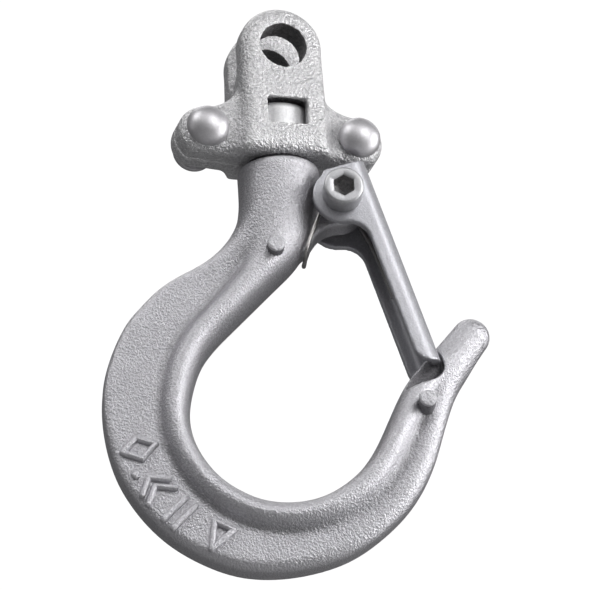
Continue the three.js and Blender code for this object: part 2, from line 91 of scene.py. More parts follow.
# Each row is a section of the forging, and the rows run from the neck round to the nose:
# bowl side x z, back x z, bead width, bead half depth, web half depth, rim roundness, share
# of bead and web shape (0 is a plain round bar), height of the raised rim.
STATIONS = np.array([
    [6.3, -20.7, -6.3, -20.7, 8, 6.3, 3.1, 1.3, 0, 0],
    [6.9, -21.3, -6.9, -21.3, 8, 6.9, 3.1, 1.3, 0, 0],
    [6.7, -24.2, -6.9, -24.2, 8, 6.9, 3.1, 1.3, 0, 0],
    [5.7, -27.8, -7.0, -27.8, 9, 6.8, 3.1, 1.3, 0, 0],
    [5.1, -31.4, -7.7, -31.2, 10, 6.6, 3.1, 1.3, 0.05, 0],
    [4.4, -34.8, -9.9, -35.0, 10.6, 6.4, 3.1, 1.3, 0.4, 0],
    [2.4, -38.3, -13.5, -38.5, 9.8, 6.2, 3.2, 1.3, 0.85, 0],
    [-0.9, -41.6, -18.4, -41.2, 8.6, 6.1, 3.2, 1.3, 1, 0],
    [-4.5, -45.2, -21.7, -43.6, 7.5, 6.0, 3.2, 1.3, 1, 0],
    [-8.3, -49.0, -24.6, -46.7, 6.9, 5.9, 3.2, 1.3, 1, 0],
    [-11.6, -52.4, -26.8, -49.4, 6.4, 5.8, 3.2, 1.3, 1, 0],
    [-14.6, -56.6, -29.4, -54.9, 5.9, 5.8, 3.2, 1.3, 1, 0],
    [-16.5, -63.1, -31.1, -61.7, 5.5, 5.7, 3.2, 1.3, 1, 0],
    [-16.6, -67.8, -30.5, -70.4, 5.4, 5.7, 3.2, 1.3, 1, 0],
    [-15.2, -72.3, -27.7, -78.6, 5.4, 5.7, 3.2, 1.4, 1, 0],
    [-11.9, -77.0, -21.3, -86.8, 5.5, 5.7, 3.2, 1.5, 1, 0],
    [-6.8, -80.3, -12.0, -92.2, 5.7, 5.7, 3.2, 1.6, 1, 0],
    [-2.3, -81.3, -4.1, -93.4, 5.8, 5.7, 3.2, 1.7, 1, 0],
    [2.0, -81.0, 3.5, -92.4, 5.8, 5.7, 3.2, 1.9, 1, 0.1],
    [5.9, -79.6, 10.0, -89.9, 5.7, 5.6, 3.2, 2.1, 1, 0.2],
    [9.8, -76.8, 16.4, -84.9, 5.5, 5.5, 3.2, 2.3, 1, 0.35],
    [12.3, -73.8, 20.5, -79.9, 5.3, 5.4, 3.2, 2.4, 1, 0.5],
    [14.2, -70.5, 23.3, -74.3, 5.3, 5.3, 3.2, 2.4, 1, 0.5],
    [15.9, -66.9, 25.1, -68.8, 5.5, 5.2, 3.2, 2.4, 1, 0.3],
    [18.7, -61.2, 27.2, -63.0, 5.8, 4.9, 3.2, 2.4, 0.7, 0],
    [21.9, -57.1, 29.4, -59.5, 5.8, 4.2, 3.1, 2.4, 0.25, 0],
    [25.4, -53.1, 31.5, -56.2, 5.6, 3.4, 3.0, 2.2, 0, 0],
    [28.0, -50.1, 33.3, -53.7, 5.4, 3.1, 3.0, 2.2, 0, 0],
])

# latch, bolt, nut and spring
PIVOT = np.array([10.05, -27.95])
TILT = np.radians(16.2)
LUG_R, LUG_T, LUG_EDGE_R = 3.9, 5.0, 0.5
BOLT_R, LUG_BORE_R, CHEEK_BORE_R = 2.0, 2.08, 2.06
BOLT_HEAD_R, BOLT_HEAD_H, BOLT_EDGE_R = 3.35, 3.67, 0.45
HEX_AF, HEX_DEPTH = 3.3, 2.2
NUT_AF, NUT_H, NUT_CHAMFER = 7.0, 2.2, 0.25
SHEET, LATCH_W, CORNER_R = 1.4, 11.9, 2.3
LEG_V = -12.0  # the channel's legs before its side outline trims them
CHEEK_R, CHEEK_NECK_R = 4.9, 4.0  # the cheek's round ear and the hollow below it
WEB_V, EDGE_V = 5.9, 2.05  # the web's outside and the cheeks' edge, from the bolt
TOP_U, TIP_U, TIP_R = 5.25, 32.8, 2.9
NOTCH_U, NOTCH_V, NOTCH_GAP = 29.3, 3.4, 0.4
FIN_T, POCKET_R, POCKET_V = 5.0, 35.6, 6.35
WIRE_R, COIL_R = 0.35, 2.75
COIL_Y, LEG_Y = 3.9, 3.2  # a coil's outer end, and its inner end with the leg
COIL_START, COIL_TURN = np.radians([78, 360 + 129])


def in_yoke(p):
    """From the middle of the ears' round tops to the row frame, in millimetres."""
    return np.asarray(p, float) + [0, 0, EYE_DROP]


def in_hook(p):
    """As in_yoke, for the hook's own plane, which is turned about the load line by TURN."""
    x, y, z = np.moveaxis(np.asarray(p, float), -1, 0)
    c, s = np.cos(TURN), np.sin(TURN)
    return np.stack([c * x - s * y, s * x + c * y, z + EYE_DROP], -1)


# ---- surfaces ----
def new_object(name, points, faces):
    """An object in the scene with these points, and faces as rows of point numbers."""
    mesh = bpy.data.meshes.new(name)
    mesh.from_pydata(points.tolist(), [], faces)
    mesh.update()
    obj = bpy.data.objects.new(name, mesh)
    bpy.context.scene.collection.objects.link(obj)
    return obj


def put_mesh(name, points, faces):
    """A mesh object. Its volume is summed face by face, and a negative one turns every face."""
    volume = 0.0
    for f in faces:
        for k in range(1, f.shape[1] - 1):
            turn = np.cross(points[f[:, k]], points[f[:, k + 1]])
            volume += np.einsum("ij,ij->", points[f[:, 0]], turn)
    if volume < 0:
        faces = [f[:, ::-1] for f in faces]
    return new_object(name, points, [row for f in faces for row in f.tolist()])


def skin(name, grid, flat_ends=False):
    """A closed skin over a grid of points: rows along the piece, columns round it. Each end
    is drawn to the middle of its last row, or closed by one flat face where flat_ends."""
    rows, cols = grid.shape[:2]
    i, j = np.arange(rows - 1)[:, None] * cols, np.arange(cols)[None, :]
    k = (j + 1) % cols
    quads = np.stack([i + j, i + k, i + cols + k, i + cols + j], -1).reshape(-1, 4)
    points = grid.reshape(-1, 3)
    last = (rows - 1) * cols
    ring = np.arange(cols)
    if flat_ends:
        return put_mesh(name, points, [quads, ring[None, ::-1], last + ring[None, :]])
    points = np.vstack([points, grid[0].mean(0), grid[-1].mean(0)])
    nxt = (ring + 1) % cols
    start = np.stack([np.full(cols, rows * cols), nxt, ring], -1)
    end = np.stack([np.full(cols, rows * cols + 1), last + ring, last + nxt], -1)
    return put_mesh(name, points, [quads, start, end])


def plate(name, outline, y0, y1, place, edge=0.0, steps=5):
    """An outline in x and z given depth from y0 to y1. At angle a of a quarter turn on each
    edge the outline is drawn in by edge times (1 - sin a), and stands edge times (1 - cos a)
    from the face."""
    back, ahead = np.roll(outline, 1, 0), np.roll(outline, -1, 0)
    d0, d1 = outline - back, ahead - outline
    d0 /= np.linalg.norm(d0, axis=1)[:, None]
    d1 /= np.linalg.norm(d1, axis=1)[:, None]
    area = np.sum(outline[:, 0] * ahead[:, 1] - ahead[:, 0] * outline[:, 1])
    side = np.sign(area)
    n0 = np.stack([-d0[:, 1], d0[:, 0]], -1) * side
    n1 = np.stack([-d1[:, 1], d1[:, 0]], -1) * side
    inward = (n0 + n1) / np.maximum(1 + np.sum(n0 * n1, 1), 0.3)[:, None]
    a = np.linspace(0, np.pi / 2, steps + 1 if edge else 1)
    draw = edge * (1 - np.sin(a)) if edge else np.zeros(1)
    rise = edge * (1 - np.cos(a)) if edge else np.zeros(1)
    draw = np.concatenate([draw, draw[::-1]])
    level = np.concatenate([y0 + rise, y1 - rise[::-1]])
    flat = outline[None] + inward[None] * draw[:, None, None]
    y = np.broadcast_to(level[:, None], flat.shape[:2])
    return skin(name, place(np.stack([flat[..., 0], y, flat[..., 1]], -1)), flat_ends=True)


def turned(name, profile, axis, centre, place, sides=64):
    """A profile of (radius, height) turned about an axis: radius times cosine and sine of the
    angle across the axis, height along it."""
    r, h = np.asarray(profile, float).T
    a = (np.arange(sides) + 0.37) * 2 * np.pi / sides
    u, v = r[:, None] * np.cos(a), r[:, None] * np.sin(a)
    w = np.broadcast_to(h[:, None], u.shape)
    grid = np.stack([u, w, v] if axis == "y" else [u, v, w], -1)
    return skin(name, place(grid + np.asarray(centre, float)))


def bar(name, a, b, r, place, depth=1.0):
    """A round-ended bar from a to b: along its line the radius is r times the cosine of the
    latitude of its ends, and its depth in y is scaled."""
    a, b = np.asarray(a, float), np.asarray(b, float)
    along = (b - a) / np.linalg.norm(b - a)
    across = np.array([-along[2], 0, along[0]])
    lat = np.radians(np.concatenate([np.linspace(-85, 0, 8), np.linspace(0, 85, 8)]))
    middle = np.where((np.arange(16) < 8)[:, None], a, b) + r * np.sin(lat)[:, None] * along
    turn = np.linspace(0, 2 * np.pi, 20, endpoint=False)
    rim = np.cos(turn)[:, None] * across + np.sin(turn)[:, None] * np.array([0, depth, 0])
    return skin(name, place(middle[:, None] + r * np.cos(lat)[:, None, None] * rim[None]))


def arc(x, z, r, start, end, steps):
    """Points of an arc, in degrees from +x towards +z."""
    a = np.radians(np.linspace(start, end, steps + 1))
    return np.stack([x + r * np.cos(a), z + r * np.sin(a)], -1)


def bend(p, q, r, steps=10):
    """Points of a curve from p to r pulled towards q."""
    t = np.linspace(0, 1, steps + 1)[:, None]
    return (1 - t) ** 2 * np.array(p) + 2 * t * (1 - t) * np.array(q) + t * t * np.array(r)


def curve_through(rows, fine):
    """Where each step stands in the rows, and the rows at those steps, fine steps to a row.
    Each column follows its own Catmull-Rom curve: at a share f of the way from row b to c,
    with a before and d after, it is b + f/2 (c - a + f (2a - 5b + 4c - d + f (3b - 3c + d -
    a)))."""
    last = len(rows) - 1
    t = np.linspace(0, last, last * fine + 1)
    i = np.minimum(t.astype(int), last - 1)
    f = (t - i)[:, None]
    a, b, c, d = (rows[np.clip(i + k, 0, last)] for k in (-1, 0, 1, 2))
    return t, b + 0.5 * f * (c - a + f * (2 * a - 5 * b + 4 * c - d + f * (3 * (b - c) + d - a)))


# ---- finishing steps on a mesh ----
EVENING_PASSES, EVENING_SHARE = 8, 0.6


def settle(obj):
    """Gives the object the mesh that its modifiers make, and drops them."""
    made = bpy.data.meshes.new_from_object(
        obj.evaluated_get(bpy.context.evaluated_depsgraph_get())
    )
    obj.modifiers.clear()
    old, obj.data = obj.data, made
    bpy.data.meshes.remove(old)
    made.name = obj.name
    return obj


def shape_with(obj, tool, how):
    """Joins the tool to the object, cuts it away, or keeps what both hold."""
    m = obj.modifiers.new("shape", "BOOLEAN")
    m.operation, m.solver, m.object = how, "EXACT", tool
    settle(obj)
    bpy.data.objects.remove(tool)
    return obj


def cut(obj, outline, y0, y1, place):
    """Cuts an outline in x and z out of the piece from y0 to y1."""
    return shape_with(obj, plate("cutter", outline, y0, y1, place), "DIFFERENCE")


def drill(obj, r, x, z, place):
    """Bores a hole of radius r right through the piece along y."""
    hole = [[r, -THROUGH], [r, THROUGH]]
    return shape_with(obj, turned("drill", hole, "y", (x, 0, z), place), "DIFFERENCE")


def joined(name, parts):
    """One object holding the meshes of all the parts, which overlap."""
    points, faces, base = [], [], 0
    for o in parts:
        co = np.zeros(len(o.data.vertices) * 3)
        o.data.vertices.foreach_get("co", co)
        points.append(co.reshape(-1, 3))
        faces += [[v + base for v in p.vertices] for p in o.data.polygons]
        base += len(o.data.vertices)
        bpy.data.objects.remove(o)
    return new_object(name, np.vstack(points), faces)


def soften(obj, pitch, passes):
    """Fuses overlapping skins into one at a pitch in millimetres, then rounds its edges."""
    m = obj.modifiers.new("fuse", "REMESH")
    m.mode, m.voxel_size = "VOXEL", pitch
    s = obj.modifiers.new("round", "SMOOTH")
    s.factor, s.iterations = 0.5, passes
    return settle(obj)


def fill_corners(obj, pitch, radius):
    """Rounds hollow corners only: the skin is swollen by the radius, fused, and drawn back."""
    for k in (radius, -radius):
        d = obj.modifiers.new("swell", "DISPLACE")
        d.direction, d.mid_level, d.strength = "NORMAL", 0.0, k
        soften(obj, pitch, 2)
    return obj


def mark_hollows(obj, scale):
    """Keeps on each point how hollow the skin is there: the mean of its neighbours' offsets
    along its normal, evened out over the neighbours and divided by scale. Edges are
    negative."""
    mesh = obj.data
    count = len(mesh.vertices)
    co, normal = np.zeros(count * 3), np.zeros(count * 3)
    mesh.vertices.foreach_get("co", co)
    mesh.vertices.foreach_get("normal", normal)
    co, normal = co.reshape(-1, 3), normal.reshape(-1, 3)
    edge = np.zeros(len(mesh.edges) * 2, int)
    mesh.edges.foreach_get("vertices", edge)
    a, b = edge.reshape(-1, 2).T
    near = np.maximum(np.bincount(a, minlength=count) + np.bincount(b, minlength=count), 1)

    def mean(value):
        """The mean of a value over each point's neighbours."""
        return (np.bincount(a, value[b], count) + np.bincount(b, value[a], count)) / near

    offset = np.stack([mean(co[:, k]) - co[:, k] for k in range(3)], -1)
    hollow = np.sum(offset * normal, 1)
    for _ in range(EVENING_PASSES):
        hollow = (1 - EVENING_SHARE) * hollow + EVENING_SHARE * mean(hollow)
    # the finishes turn this into painted shade in hollows and a painted highlight on edges
    layer = mesh.attributes.new("hollow", "FLOAT", "POINT")
    layer.data.foreach_set("value", np.clip(hollow / scale, -1, 1))


def finish_piece(obj, body, node, material):
    """Brings the piece to metres, shades it smoothly, gives it its material and says what it
    stands for."""
    obj.data.transform(Matrix.Scale(MM, 4))
    obj.data.materials.clear()
    obj.data.materials.append(material)
    obj.data.polygons.foreach_set("use_smooth", np.ones(len(obj.data.polygons), bool))
    obj.data.update()
    if body:
        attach(obj, body)
    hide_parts(node)
    return obj


# ---- yoke ----
def front_yoke_half():
    """The yoke's front half: a round-topped column with an arm on each side, hollowed for the
    swivel head and neck, and cut for the eye, the slot, the window and the rivets."""
    half = YOKE_T / 2
    column = np.vstack([
        [[-FOOT_R, YOKE_BOTTOM_Z], [FOOT_R, YOKE_BOTTOM_Z]],
        arc(0, 0, EAR_R, -8, 188, 60),
    ])
    top = RIVET_Z + ARM_END_R
    foot = np.degrees(np.arcsin(ARM_BOTTOM / ARM_END_R))
    right = arc(RIVET_X, RIVET_Z, ARM_END_R, -foot, 90, 24)
    meet = [EAR_R - 0.4, top + SHOULDER_RISE]
    shoulder = bend([RIVET_X, top], [SHOULDER_X, top + 0.3], meet)[1:]
    right = np.vstack([[[FOOT_R, YOKE_BOTTOM_Z]], right, shoulder])
    arms = np.vstack([right, right[::-1] * [-1, 1]])
    body = joined("front_yoke_casting", [
        plate("column", column, -half, half, in_yoke, YOKE_EDGE_R, 6),
        plate("arms", arms, -ARM_T / 2, ARM_T / 2, in_yoke, YOKE_EDGE_R, 6),
    ])
    fill_corners(soften(body, 0.3, 4), 0.3, YOKE_HOLLOW_R)
    for r, z0, z1 in ((HEAD_R, HEAD_Z0 - 0.3, HEAD_Z1 + 0.9), (NECK_R, -30, HEAD_Z0 + 1.4)):
        cavity = [[r + HEAD_GAP, z0], [r + HEAD_GAP, z1]]
        shape_with(body, turned("cavity", cavity, "z", (0, 0, 0), in_yoke), "DIFFERENCE")
    drill(body, EYE_R, 0, -EYE_DROP, in_yoke)
    for x in (-RIVET_X, RIVET_X):
        drill(body, RIVET_R + SNUG, x, RIVET_Z, in_yoke)
    slot = np.vstack([
        [[SLOT, 12.0], [-SLOT, 12.0]],
        arc(0, SLOT_FLOOR_Z + SLOT, SLOT, 180, 360, 24),
    ])
    across = lambda p: in_yoke(np.stack([p[..., 1], p[..., 0], p[..., 2]], -1))
    cut(body, slot, -THROUGH, THROUGH, across)
    x, h, z0, z1 = WINDOW
    c = WINDOW_CORNER_R
    window = np.vstack([
        arc(x + h - c, z0 + c, c, -90, 0, 5), arc(x + h - c, z1 - c, c, 0, 90, 5),
        arc(x - h + c, z1 - c, c, 90, 180, 5), arc(x - h + c, z0 + c, c, 180, 270, 5),
    ])
    cut(body, window, -THROUGH, THROUGH, in_yoke)
    block = np.array([[-40, -40], [40, -40], [40, 20], [-40, 20]], float)
    cut(body, block, -HALVES_GAP / 2, THROUGH, in_yoke)
    return soften(body, 0.21, 2)


def mirrored(name, obj):
    """The same mesh with every y turned to -y, and every face turned round to match."""
    co = np.zeros(len(obj.data.vertices) * 3)
    obj.data.vertices.foreach_get("co", co)
    points = co.reshape(-1, 3) * [1, -1, 1]
    return new_object(name, points, [list(p.vertices)[::-1] for p in obj.data.polygons])


def rivet(name, x):
    """A round shank with a dome on each side: each dome's radius and height follow the sine
    and cosine of its latitude."""
    seat = ARM_T / 2 + SEAT
    a = np.linspace(np.pi / 2, 0.03, 22)
    dome = np.stack([DOME_R * np.sin(a), seat + DOME_EDGE + DOME_H * np.cos(a)], -1)
    upper = np.vstack([
        [[RIVET_R, seat - 0.3], [RIVET_R, seat - 0.02], [DOME_R - 0.2, seat],
         [DOME_R - 0.06, seat + 0.06], [DOME_R, seat + 0.2]], dome,
    ])
    profile = np.vstack([upper[::-1] * [1, -1], upper])
    return turned(name, profile, "y", (x, 0, RIVET_Z), in_yoke, 72)


# ---- hook ----
def stations(fine):
    """The station table at fine steps a row, each column evened out by a short weighted mean
    along the body. The neck's first five rows are left as they are, and the evening comes
    in over the next two."""
    t, s = curve_through(STATIONS, fine)
    width = int(0.8 * fine)
    w = np.exp(-np.linspace(-2, 2, 2 * width + 1) ** 2)
    held = np.pad(s, ((width, width), (0, 0)), mode="reflect", reflect_type="odd")
    even = np.stack([np.convolve(held[:, k], w / w.sum(), "valid") for k in range(10)], -1)
    keep = np.clip((t - 4) / 2, 0, 1)[:, None]
    return s + keep * (even - s)


def section(s, share_of_turn):
    """Half depth of the forging at distances d from the bowl side. A plain bar is an ellipse.
    The shaped section is the smooth maximum of an elliptical bead and a flat web that ends
    in a rounded rim, with a shallow valley next to the bead where the rim is raised."""
    xi, zi, xo, zo, bead, deep, web, edge, share, rim = (s[:, k, None] for k in range(10))
    length = np.hypot(xo - xi, zo - zi)
    d = length * (1 - np.cos(share_of_turn)) / 2
    plain = deep * np.sin(share_of_turn)
    e = np.clip(1 - (2 * d / bead - 1) ** 2, 0, 1)
    crown = np.where(d < bead, deep * np.sqrt(e), 0)
    q = np.clip((d - bead) / np.maximum(length - edge - bead, 0.1), 0, 1)
    flat = web + rim * (0.4 * q * q * (3 - 2 * q) - 0.5 * np.exp(-(((q - 0.3) / 0.22) ** 2)))
    over = np.clip((d - (length - edge)) / edge, 0, 1)
    flat = flat - edge + edge * np.sqrt(np.clip(1 - over**2, 0, 1))
    lift = np.clip(SECTION_BLEND - np.abs(crown - flat), 0, None) ** 2 / (4 * SECTION_BLEND)
    shaped = np.where(d < 0.4 * bead, crown, np.maximum(crown, flat) + lift)
    return length, d, plain + share * (shaped - plain)


def hook_body():
    """The forging's body: sections carried along the stations, and a round nose whose
    sections shrink with the cosine of their angle as they advance with its sine."""
    s = stations(10)
    a = np.linspace(0, np.pi, 57)[None, :]
    length, d, y = section(s, a)
    way = (s[:, 2:4] - s[:, 0:2]) / length
    d = np.concatenate([d, d[:, -2:0:-1]], 1) - length / 2
    y = np.concatenate([-y, y[:, -2:0:-1]], 1)
    middle = (s[:, 0:2] + s[:, 2:4]) / 2
    nose = np.radians(90 * np.arange(1, NOSE_ROWS + 1) / (NOSE_ROWS + 0.6))[:, None]
    ahead = np.array([-way[-1, 1], way[-1, 0]])
    middle = np.vstack([middle, middle[-1] + NOSE_R * np.sin(nose) * ahead])
    way = np.vstack([way, np.repeat(way[-1:], NOSE_ROWS, 0)])
    d = np.vstack([d, d[-1] * np.cos(nose)])
    y = np.vstack([y, y[-1] * np.cos(nose)])
    x = middle[:, 0, None] + way[:, 0, None] * d
    z = middle[:, 1, None] + way[:, 1, None] * d
    return skin("body", in_hook(np.stack([x, y, z], -1)))


def uv(u, v):
    """A place x, z in the closed latch: u down its length from the bolt, v to its outside."""
    c, s = np.cos(TILT), np.sin(TILT)
    return np.array([PIVOT[0] + u * s + v * c, PIVOT[1] - u * c + v * s])


def raised_marks():
    """Plain raised bars and a dot on the web, set out along a circle about the bowl: a diamond,
    the dot, two chevrons, two bars and a triangle."""
    parts = []

    def at(angle, out, side=0.0):
        """A point at an angle of the circle: so far out, and so far along it to the side."""
        a = np.radians(angle)
        c, s = np.cos(a), np.sin(a)
        return [MARKS_X + out * c - side * s, MARKS_Y, MARKS_Z + out * s + side * c]

    def stroke(angle, p, q):
        parts.append(bar("mark", at(angle, *p), at(angle, *q), MARK_R, in_hook, MARK_DEPTH))

    def dot(angle, out):
        ends = at(angle, out), at(angle + 0.3, out)
        parts.append(bar("mark", *ends, DOT_R, in_hook, DOT_DEPTH))

    corners = [(22.2, 0), (25.0, 1.9), (27.8, 0), (25.0, -1.9)]
    for k in range(4):
        stroke(DIAMOND_AT, corners[k], corners[(k + 1) % 4])
    dot(DOT_AT, 27.2)
    for shift in (-0.9, 0.9):
        stroke(CHEVRONS_AT, (22.8, shift + 1.0), (25.4, shift - 1.0))
        stroke(CHEVRONS_AT, (25.4, shift - 1.0), (28.0, shift + 1.0))
        stroke(BARS_AT, (22.6, shift * 1.2), (27.9, shift * 1.2))
    corners = [(22.8, -1.7), (22.8, 1.7), (27.4, 0)]
    for k in range(3):
        stroke(TRIANGLE_AT, corners[k], corners[(k + 1) % 3])
    return parts


def hook_forging():
    """Body and latch lug fused with rounded hollows, cut for the latch's tip and bolt, then
    the neck and head, and on top the crisp gauge marks and raised marks."""
    x, z = PIVOT
    outline = np.vstack([
        [[-2, z + 4.6], [3.5, z + 4.6]],
        bend([3.5, z + 4.6], [6.5, z + LUG_R + 0.1], [x, z + LUG_R], 12)[1:-1],
        arc(x, z, LUG_R, 90, -90, 40),
        bend([x, z - LUG_R], [6.8, z - LUG_R - 0.1], [5.3, z - 6.5], 12)[1:],
        [[3.7, z - 8.7], [-2, z - 9.7]],
    ])
    lug = plate("lug", outline, -LUG_T / 2, LUG_T / 2, in_hook, LUG_EDGE_R, 4)
    forged = soften(joined("forged_hook", [hook_body(), lug]), 0.36, 2)
    # the pocket's far wall stands on a circle about the bolt, with a round outer corner
    wall = lambda v: uv(np.sqrt(POCKET_R**2 - v * v), v)
    pocket = np.vstack([
        [uv(26, -8), uv(26, POCKET_V)],
        bend(uv(POCKET_R - 2.9, POCKET_V), uv(POCKET_R - 0.8, POCKET_V), wall(POCKET_V - 2.4), 8),
        [wall(v) for v in np.linspace(POCKET_V - 3, -8, 24)],
    ])
    for y0, y1 in ((-THROUGH, -FIN_T / 2), (FIN_T / 2, THROUGH)):
        cut(forged, pocket, y0, y1, in_hook)
    drill(forged, LUG_BORE_R, x, z, in_hook)
    head = [
        [NECK_R, -24], [NECK_R, HEAD_Z0], [HEAD_R - 0.3, HEAD_Z0], [HEAD_R, HEAD_Z0 + 0.3],
        [HEAD_R, HEAD_Z1 - 0.9], [HEAD_R - 0.3, HEAD_Z1 - 0.3], [HEAD_R - 0.9, HEAD_Z1],
    ]
    forged = joined("forged_hook", [forged, turned("head", head, "z", (0, 0, 0), in_hook)])
    soften(forged, 0.33, 2)
    pips = []
    for px, pz, y in GAUGE_PIPS:
        q = np.linspace(0, np.pi / 2, 6)
        r = PIP_R - PIP_EDGE_R + PIP_EDGE_R * np.cos(q)
        edge = np.stack([r, -y - 0.1 - PIP_EDGE_R * np.sin(q)], -1)
        foot = np.linspace(-2, -y, 12)
        pip = np.vstack([np.stack([np.full(12, PIP_R), foot], -1), edge, [[0.5, -y - 0.46]]])
        pips.append(turned("pip", pip, "y", (px, 0, pz), in_hook, 40))
    return joined("forged_hook", [forged, *pips, *raised_marks()])


# ---- latch ----
def latch_sheet():
    """A channel of sheet steel: its U section carried down the latch, kept inside the side
    outline with its round ears, bored for the bolt and notched at the tip for the fin."""
    w, r, inner = LATCH_W / 2, CORNER_R, CORNER_R - SHEET
    section_vy = np.vstack([
        [[LEG_V, -w]],
        arc(WEB_V - r, -w + r, r, -90, 0, 12), arc(WEB_V - r, w - r, r, 0, 90, 12),
        [[LEG_V, w], [LEG_V, w - SHEET]],
        arc(WEB_V - r, w - r, inner, 90, 0, 12), arc(WEB_V - r, -w + r, inner, 0, -90, 12),
        [[LEG_V, -w + SHEET]],
    ])

    def down(p):
        """The channel's section, drawn in v and y, carried down u."""
        x, z = uv(p[..., 1], p[..., 0])
        return in_hook(np.stack([x, p[..., 2], z], -1))

    channel = plate("channel", section_vy, -20, 40, down)
    neck_v = EDGE_V - CHEEK_NECK_R
    neck_u = np.sqrt((CHEEK_R + CHEEK_NECK_R) ** 2 - neck_v**2)
    join = np.degrees(np.arctan2(neck_v, neck_u))
    cheek = arc(0, 0, CHEEK_R, 206, 360 + join, 40)
    neck = arc(neck_u, neck_v, CHEEK_NECK_R, join + 180, 90, 16)[1:]
    tip = arc(TIP_U - TIP_R, EDGE_V + TIP_R, TIP_R, -90, 0, 12)
    outline = np.vstack([
        [[-TOP_U, WEB_V + 1], [-TOP_U, -1.4]], cheek, neck, tip, [[TIP_U, WEB_V + 1]],
    ])
    outline = np.stack([uv(u, v) for u, v in outline])
    shape_with(channel, plate("side", outline, -THROUGH, THROUGH, in_hook), "INTERSECT")
    drill(channel, CHEEK_BORE_R, *PIVOT, in_hook)
    corners = ((NOTCH_U, NOTCH_V), (NOTCH_U, 8), (36, 8), (36, NOTCH_V))
    half = FIN_T / 2 + NOTCH_GAP
    cut(channel, np.array([uv(u, v) for u, v in corners]), -half, half, in_hook)
    channel.name = "latch_channel"
    return soften(channel, 0.2, 3)


BOLT_SIDES = 96
SOCKET_ROWS = [14, 15, 16, 17, 18, 20]  # rows of faces of the bolt's skin inside its hexagon, painted dark as shade


def around():
    """Even angles round the bolt or the nut, without the full turn's end."""
    return np.linspace(0, 2 * np.pi, BOLT_SIDES, endpoint=False)


def hexagon(across_flats, a, turn):
    """Radius of a hexagon at angle a: half the width over the flats, over the cosine of the
    angle from the nearest flat."""
    sector = np.pi / 3
    off = np.mod(a - turn + sector / 2, sector) - sector / 2
    return across_flats / 2 / np.cos(off)


def bolt():
    """Shank, head and hexagon socket in one skin: each row has a radius that is a circle's, or
    the hexagon's in the socket, and a height along the bolt."""
    a = around()
    face = LATCH_W / 2 + SEAT
    top = face + BOLT_HEAD_H
    hexa = hexagon(HEX_AF, a, np.pi / 6 - np.pi / 2)
    one = np.ones_like(a)
    q, e = np.linspace(0, np.pi / 2, 7), BOLT_EDGE_R
    floor = -top + HEX_DEPTH
    rows = [(1.55 * one, face + NUT_H + 0.7), (BOLT_R * one, face + NUT_H + 0.3)]
    rows += [(BOLT_R * one, -face + 0.01), ((BOLT_HEAD_R - 0.08) * one, -face)]
    rows += [(BOLT_HEAD_R * one, -face - 0.08)]
    rows += [((BOLT_HEAD_R - e * (1 - np.cos(t))) * one, -top + e - e * np.sin(t)) for t in q]
    rows += [(hexa * 1.12, -top), (hexa * 1.05, -top + 0.05), (hexa, -top + 0.18)]
    rows += [(hexa, -top + 0.6), (hexa, floor - 0.05), (hexa * 0.92, floor)]
    rows += [(one * 1.1, floor + 0.15), (one * 0.25, floor + 0.75)]
    r = np.stack([row[0] for row in rows])
    y = np.array([row[1] for row in rows])[:, None] + np.zeros_like(r)
    grid = np.stack([PIVOT[0] + r * np.cos(a), y, PIVOT[1] + r * np.sin(a)], -1)
    return skin("socket_bolt", in_hook(grid))


def nut():
    """A hexagon ring: its outer rows follow the hexagon, drawn in to a cone at both faces,
    and its inner rows the bore."""
    a = around()
    face = LATCH_W / 2 + SEAT
    hexa = hexagon(NUT_AF, a, np.pi / 6 - TILT)
    cone = np.minimum(hexa, NUT_AF / 2 - 0.05)
    fall = (hexa - cone) * 0.5
    bore = np.full_like(a, BOLT_R + SNUG)
    lip = bore + NUT_CHAMFER
    r = np.stack([lip, cone, hexa, hexa, cone, lip, bore, bore, lip])
    zero = np.zeros_like(a)
    y = face + np.stack([
        zero, zero, fall, NUT_H - fall, NUT_H + zero, NUT_H + zero,
        NUT_H - NUT_CHAMFER + zero, NUT_CHAMFER + zero, zero,
    ])
    grid = in_hook(np.stack([PIVOT[0] + r * np.cos(a), y, PIVOT[1] + r * np.sin(a)], -1))
    rows, cols = grid.shape[0] - 1, grid.shape[1]
    i, j = np.arange(rows)[:, None], np.arange(cols)[None, :]
    ni, nj = (i + 1) % rows, (j + 1) % cols
    quads = np.stack([i * cols + j, i * cols + nj, ni * cols + nj, ni * cols + j], -1)
    return put_mesh("thin_nut", grid[:-1].reshape(-1, 3), [quads.reshape(-1, 4)])


def spring():
    """One round wire: an end on the latch's web, a coil on the bolt, a loop under the lug, and
    the same again mirrored. Its line is a curve through set points and the coil's, and each
    ring of the skin stands square to it."""
    px, pz = PIVOT
    k = np.linspace(0, 1, 27)
    a = TILT - np.pi / 2 + COIL_START + COIL_TURN * k
    y = COIL_Y + (LEG_Y - COIL_Y) * k
    coil = np.stack([px + COIL_R * np.cos(a), y, pz + COIL_R * np.sin(a)], -1)
    web = WEB_V - SHEET - WIRE_R
    lead = [uv(16.5, web - 0.1), uv(11.0, web - 0.12), uv(5.6, web - 0.5)]
    lead = np.array([[x, COIL_Y, z] for x, z in lead])
    tail = np.array([
        [5.3, LEG_Y, -32.6], [3.95, LEG_Y, -36.2], [3.72, 2.75, -37.1], [3.72, 1.8, -37.45],
    ])
    half = np.vstack([lead, coil, tail]) * [1, -1, 1]
    knots = np.vstack([half, half[::-1] * [1, -1, 1]])
    _, line = curve_through(knots, 8)
    along = np.gradient(line, axis=0)
    along /= np.linalg.norm(along, axis=1)[:, None]
    n1 = np.cross(along, [0.12, 0.97, 0.2])
    n1 /= np.linalg.norm(n1, axis=1)[:, None]
    n2 = np.cross(along, n1)
    c = np.linspace(0, 2 * np.pi, 14, endpoint=False)
    ring = np.cos(c)[:, None] * n1[:, None] + np.sin(c)[:, None] * n2[:, None]
    return skin("spring_wire", in_hook(line[:, None] + WIRE_R * ring))


